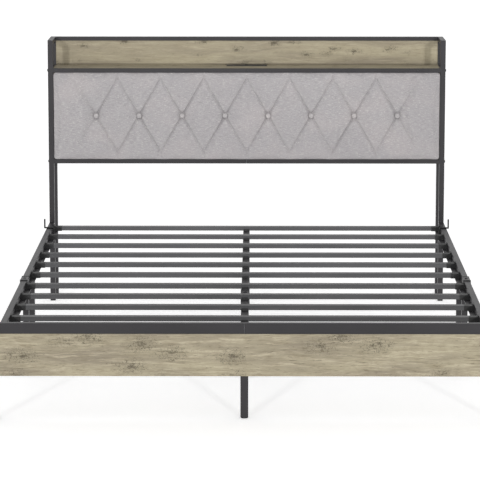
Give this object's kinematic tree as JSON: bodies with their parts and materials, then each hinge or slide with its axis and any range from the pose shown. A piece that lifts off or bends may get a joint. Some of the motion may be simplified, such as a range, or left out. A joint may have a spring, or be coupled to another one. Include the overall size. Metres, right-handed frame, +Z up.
{
  "type": "platform bed",
  "caption": "Metal platform bed with a slatted base, a wood-faced foot rail and a diamond-tufted upholstered headboard topped by a storage shelf with a built-in power strip.",
  "frame": {"origin": "on the floor, under the middle of the bed's overall box", "axes": "+Y towards the headboard, +Z up, +X to the right of someone standing at the foot and facing the headboard"},
  "size_m": [1.616, 2.22, 1.03],
  "materials": {
    "frame_metal": "dark charcoal powder coat, satin",
    "slat_metal": "charcoal powder coat, satin",
    "wood": "weathered greige oak foil, matt",
    "backing": "raw fibreboard",
    "linen": "warm grey melange linen weave",
    "button_linen": "warm grey melange linen, stretched over a button",
    "black_plastic": "moulded, fine texture",
    "strip_plastic": "satin black ABS",
    "retainer_black": "black dipped coating",
    "zinc": "zinc plated",
    "black_zinc": "black zinc, semi-gloss"
  },
  "bodies": {
    "frame": {"head_post_front_left": "frame_metal", "head_post_front_right": "frame_metal", "head_post_rear_left": "frame_metal", "head_post_rear_right": "frame_metal", "head_side_ties": "frame_metal", "head_rear_rails": "frame_metal", "shelf_front_rail": "frame_metal", "bottom_rail_left": "frame_metal", "bottom_rail_right": "frame_metal", "rail_connectors": "zinc", "shelf_board": "wood", "shelf_back_board": "wood", "backing_board": "backing", "upholstered_pad": "linen", "tuft_buttons": "button_linen", "tuft_washers": "zinc", "panel_brackets": "zinc", "frame_fasteners": "black_zinc", "power_housing": "strip_plastic", "power_sockets": "strip_plastic", "usb_insert": "strip_plastic", "power_gland": "black_plastic", "side_rail_head_left": "frame_metal", "side_rail_head_right": "frame_metal", "side_rail_foot_left": "frame_metal", "side_rail_foot_right": "frame_metal", "rail_joint_sleeves": "frame_metal", "rail_joint_collars": "black_plastic", "side_legs": "frame_metal", "foot_rail_left": "frame_metal", "foot_rail_right": "frame_metal", "foot_legs": "frame_metal", "foot_panel": "wood", "centre_rail_head": "frame_metal", "centre_rail_foot": "frame_metal", "centre_joint_bracket": "frame_metal", "centre_foot_bracket": "frame_metal", "centre_legs": "frame_metal", "slat_end_caps": "black_plastic", "slat_centre_clips": "black_plastic", "leg_caps": "black_plastic", "leg_inserts": "black_plastic", "mattress_retainers": "retainer_black", "slat_01": "slat_metal", "slat_02": "slat_metal", "slat_03": "slat_metal", "slat_04": "slat_metal", "slat_05": "slat_metal", "slat_06": "slat_metal", "slat_07": "slat_metal", "slat_08": "slat_metal", "slat_09": "slat_metal", "slat_10": "slat_metal"},
    "pad_head": {"glide_pad_head": "black_plastic"},
    "stud_head": {"glide_stud_head": "zinc"},
    "pad_middle": {"glide_pad_middle": "black_plastic"},
    "stud_middle": {"glide_stud_middle": "zinc"},
    "pad_foot": {"glide_pad_foot": "black_plastic"},
    "stud_foot": {"glide_stud_foot": "zinc"}
  },
  "joints": [
    {"name": "glide_travel_head", "type": "slide", "parent": "frame", "child": "pad_head", "axis": [0, 0, -1], "range_m": [0, 0.012]},
    {"name": "glide_turn_head", "type": "hinge", "parent": "pad_head", "child": "stud_head", "pos_m": [0, 0.85, 0.02], "axis": [0, 0, -1], "range_deg": [0, 3456]},
    {"name": "glide_travel_middle", "type": "slide", "parent": "frame", "child": "pad_middle", "axis": [0, 0, -1], "range_m": [0, 0.012]},
    {"name": "glide_turn_middle", "type": "hinge", "parent": "pad_middle", "child": "stud_middle", "pos_m": [0, -0.44, 0.02], "axis": [0, 0, -1], "range_deg": [0, 3456]},
    {"name": "glide_travel_foot", "type": "slide", "parent": "frame", "child": "pad_foot", "axis": [0, 0, -1], "range_m": [0, 0.012]},
    {"name": "glide_turn_foot", "type": "hinge", "parent": "pad_foot", "child": "stud_foot", "pos_m": [0, -1.082, 0.02], "axis": [0, 0, -1], "range_deg": [0, 3456]}
  ],
  "couplings": [
    {"joint": "glide_travel_head", "follows": "glide_turn_head", "m_per_rad": 0.00019894},
    {"joint": "glide_travel_middle", "follows": "glide_turn_middle", "m_per_rad": 0.00019894},
    {"joint": "glide_travel_foot", "follows": "glide_turn_foot", "m_per_rad": 0.00019894}
  ]
}
